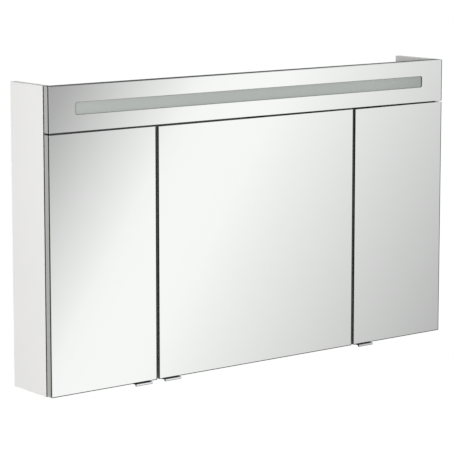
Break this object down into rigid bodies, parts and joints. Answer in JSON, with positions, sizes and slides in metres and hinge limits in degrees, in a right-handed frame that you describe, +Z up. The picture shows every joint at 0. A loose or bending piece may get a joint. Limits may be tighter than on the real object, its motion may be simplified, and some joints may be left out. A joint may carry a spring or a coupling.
{
  "type": "lighted mirror cabinet",
  "caption": "Wall-hung bathroom cabinet with hinged mirror doors under a mirrored header that holds an opal light strip.",
  "frame": {"origin": "midway between the two wall screws, on the wall plane", "axes": "+X to the right as seen from the front, +Y into the wall, +Z up"},
  "size_m": [1.2, 0.168, 0.713],
  "materials": {
    "white_board": "white melamine faced chipboard",
    "grey_edged_board": "grey edged board",
    "mirror_glass": "silvered mirror glass",
    "shelf_glass": "clear float glass with polished edges",
    "opal_acrylic": "opal acrylic",
    "aluminium": "natural anodised aluminium",
    "light_board": "white solder mask",
    "light_chip": "phosphor filled resin",
    "white_plastic": "moulded white plastic",
    "grey_plastic": "moulded grey plastic",
    "lead_sheath": "white flexible sheath",
    "zinc_steel": "zinc plated steel",
    "nickel_steel": "nickel plated steel",
    "chrome": "polished chrome",
    "beech": "plain beech",
    "clear_rubber": "clear soft plastic"
  },
  "bodies": {
    "cabinet": {"left_side_panel": "white_board", "right_side_panel": "white_board", "bottom_panel": "white_board", "top_panel": "white_board", "left_divider": "white_board", "right_divider": "white_board", "back_panel": "white_board", "header_board": "grey_edged_board", "header_mirror": "mirror_glass", "left_shelves": "shelf_glass", "middle_shelves": "shelf_glass", "right_shelves": "shelf_glass", "light_diffuser": "opal_acrylic", "light_channel": "aluminium", "light_board": "light_board", "light_chips": "light_chip", "light_channel_caps": "white_plastic", "light_driver": "white_plastic", "switch_box": "white_plastic", "socket_insert": "white_plastic", "junction_box": "grey_plastic", "mains_gland": "grey_plastic", "mains_lead": "lead_sheath", "switch_lead": "lead_sheath", "light_lead": "lead_sheath", "left_hanger": "zinc_steel", "right_hanger": "zinc_steel", "header_side_brackets": "zinc_steel", "header_mid_bracket": "zinc_steel", "bracket_screws": "zinc_steel", "cam_connectors": "zinc_steel", "shelf_pins": "nickel_steel", "hinge_arms": "nickel_steel", "hinge_plates": "nickel_steel", "hinge_arm_pins": "nickel_steel", "carcass_dowels": "beech", "door_bumpers": "clear_rubber"},
    "rocker": {"switch_rocker": "white_plastic"},
    "left_outer_link": {"left_outer_links": "nickel_steel"},
    "left_door": {"left_door_board": "grey_edged_board", "left_door_mirror": "mirror_glass", "left_rear_mirror": "mirror_glass", "left_door_pull": "chrome", "left_hinge_cups": "nickel_steel"},
    "left_inner_link": {"left_inner_links": "nickel_steel"},
    "middle_outer_link": {"middle_outer_links": "nickel_steel"},
    "middle_door": {"middle_door_board": "grey_edged_board", "middle_door_mirror": "mirror_glass", "middle_rear_mirror": "mirror_glass", "middle_door_pull": "chrome", "middle_hinge_cups": "nickel_steel"},
    "middle_inner_link": {"middle_inner_links": "nickel_steel"},
    "right_outer_link": {"right_outer_links": "nickel_steel"},
    "right_door": {"right_door_board": "grey_edged_board", "right_door_mirror": "mirror_glass", "right_rear_mirror": "mirror_glass", "right_door_pull": "chrome", "right_hinge_cups": "nickel_steel"},
    "right_inner_link": {"right_inner_links": "nickel_steel"}
  },
  "joints": [
    {"name": "left_outer_link_turn", "type": "hinge", "parent": "cabinet", "child": "left_outer_link", "pos_m": [-0.5565, -0.1263, -0.35875], "axis": [0, 0, -1], "range_deg": [-23.5, 0.5]},
    {"name": "left_door_swing", "type": "hinge", "parent": "left_outer_link", "child": "left_door", "pos_m": [-0.5868, -0.1418, -0.35875], "axis": [0, 0, -1], "range_deg": [0, 115]},
    {"name": "left_inner_link_turn", "type": "hinge", "parent": "left_door", "child": "left_inner_link", "pos_m": [-0.5863, -0.1477, -0.35875], "axis": [0, 0, -1], "range_deg": [-110.5, 0.5]},
    {"name": "middle_outer_link_turn", "type": "hinge", "parent": "cabinet", "child": "middle_outer_link", "pos_m": [0.2555, -0.1263, -0.35875], "axis": [0, 0, 1], "range_deg": [-23.5, 0.5]},
    {"name": "middle_door_swing", "type": "hinge", "parent": "middle_outer_link", "child": "middle_door", "pos_m": [0.2858, -0.1418, -0.35875], "axis": [0, 0, 1], "range_deg": [0, 115]},
    {"name": "middle_inner_link_turn", "type": "hinge", "parent": "middle_door", "child": "middle_inner_link", "pos_m": [0.2853, -0.1477, -0.35875], "axis": [0, 0, 1], "range_deg": [-110.5, 0.5]},
    {"name": "right_outer_link_turn", "type": "hinge", "parent": "cabinet", "child": "right_outer_link", "pos_m": [0.5565, -0.1263, -0.35875], "axis": [0, 0, 1], "range_deg": [-23.5, 0.5]},
    {"name": "right_door_swing", "type": "hinge", "parent": "right_outer_link", "child": "right_door", "pos_m": [0.5868, -0.1418, -0.35875], "axis": [0, 0, 1], "range_deg": [0, 115]},
    {"name": "right_inner_link_turn", "type": "hinge", "parent": "right_door", "child": "right_inner_link", "pos_m": [0.5863, -0.1477, -0.35875], "axis": [0, 0, 1], "range_deg": [-110.5, 0.5]},
    {"name": "switch_rocker_press", "type": "hinge", "parent": "cabinet", "child": "rocker", "pos_m": [0.443, -0.09075, -0.101], "axis": [-1, 0, 0], "range_deg": [0, 12]}
  ],
  "couplings": [
    {"joint": "left_outer_link_turn", "follows": "left_door_swing", "ratio": -0.2},
    {"joint": "left_inner_link_turn", "follows": "left_door_swing", "ratio": -0.955},
    {"joint": "middle_outer_link_turn", "follows": "middle_door_swing", "ratio": -0.2},
    {"joint": "middle_inner_link_turn", "follows": "middle_door_swing", "ratio": -0.955},
    {"joint": "right_outer_link_turn", "follows": "right_door_swing", "ratio": -0.2},
    {"joint": "right_inner_link_turn", "follows": "right_door_swing", "ratio": -0.955}
  ]
}
